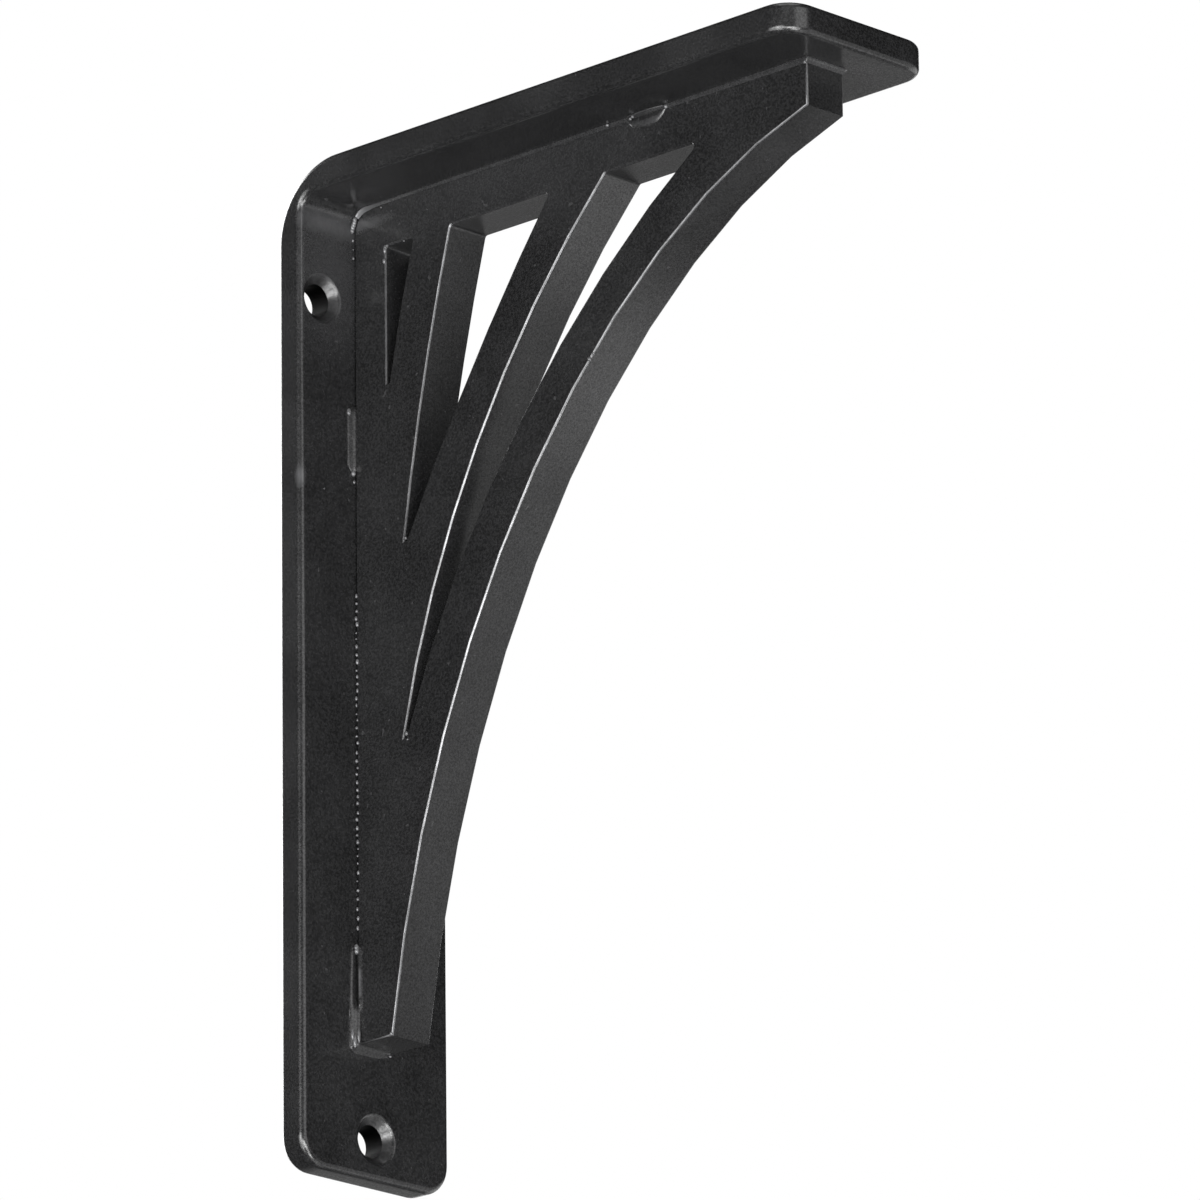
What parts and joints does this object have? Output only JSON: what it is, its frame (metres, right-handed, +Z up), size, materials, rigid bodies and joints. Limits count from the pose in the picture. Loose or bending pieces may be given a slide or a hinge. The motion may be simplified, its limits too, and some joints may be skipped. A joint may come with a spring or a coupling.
{
  "type": "wrought iron bracket",
  "caption": "Black steel wall bracket: a bent flat bar with a pierced, fan-shaped web plate welded inside it, for holding up a shelf, mantel or counter.",
  "frame": {"origin": "on the wall face, in the middle of the bar's width and at half the bracket's height", "axes": "+X out of the wall, +Z up, Y along the wall"},
  "size_m": [0.1397, 0.04, 0.2032],
  "materials": {
    "bar_paint": "satin black powder coat with a fine orange peel",
    "web_paint": "satin black powder coat with a fine orange peel, thinner and brighter along the edges",
    "weld_paint": "satin black powder coat flowed over weld beads"
  },
  "bodies": {
    "root": {"bent_bar": "bar_paint", "web_plate": "web_paint", "weld_foot": "weld_paint", "weld_low_right": "weld_paint", "weld_middle_left": "weld_paint", "weld_middle_right": "weld_paint", "weld_top_left": "weld_paint", "weld_top_right": "weld_paint"}
  },
  "joints": []
}
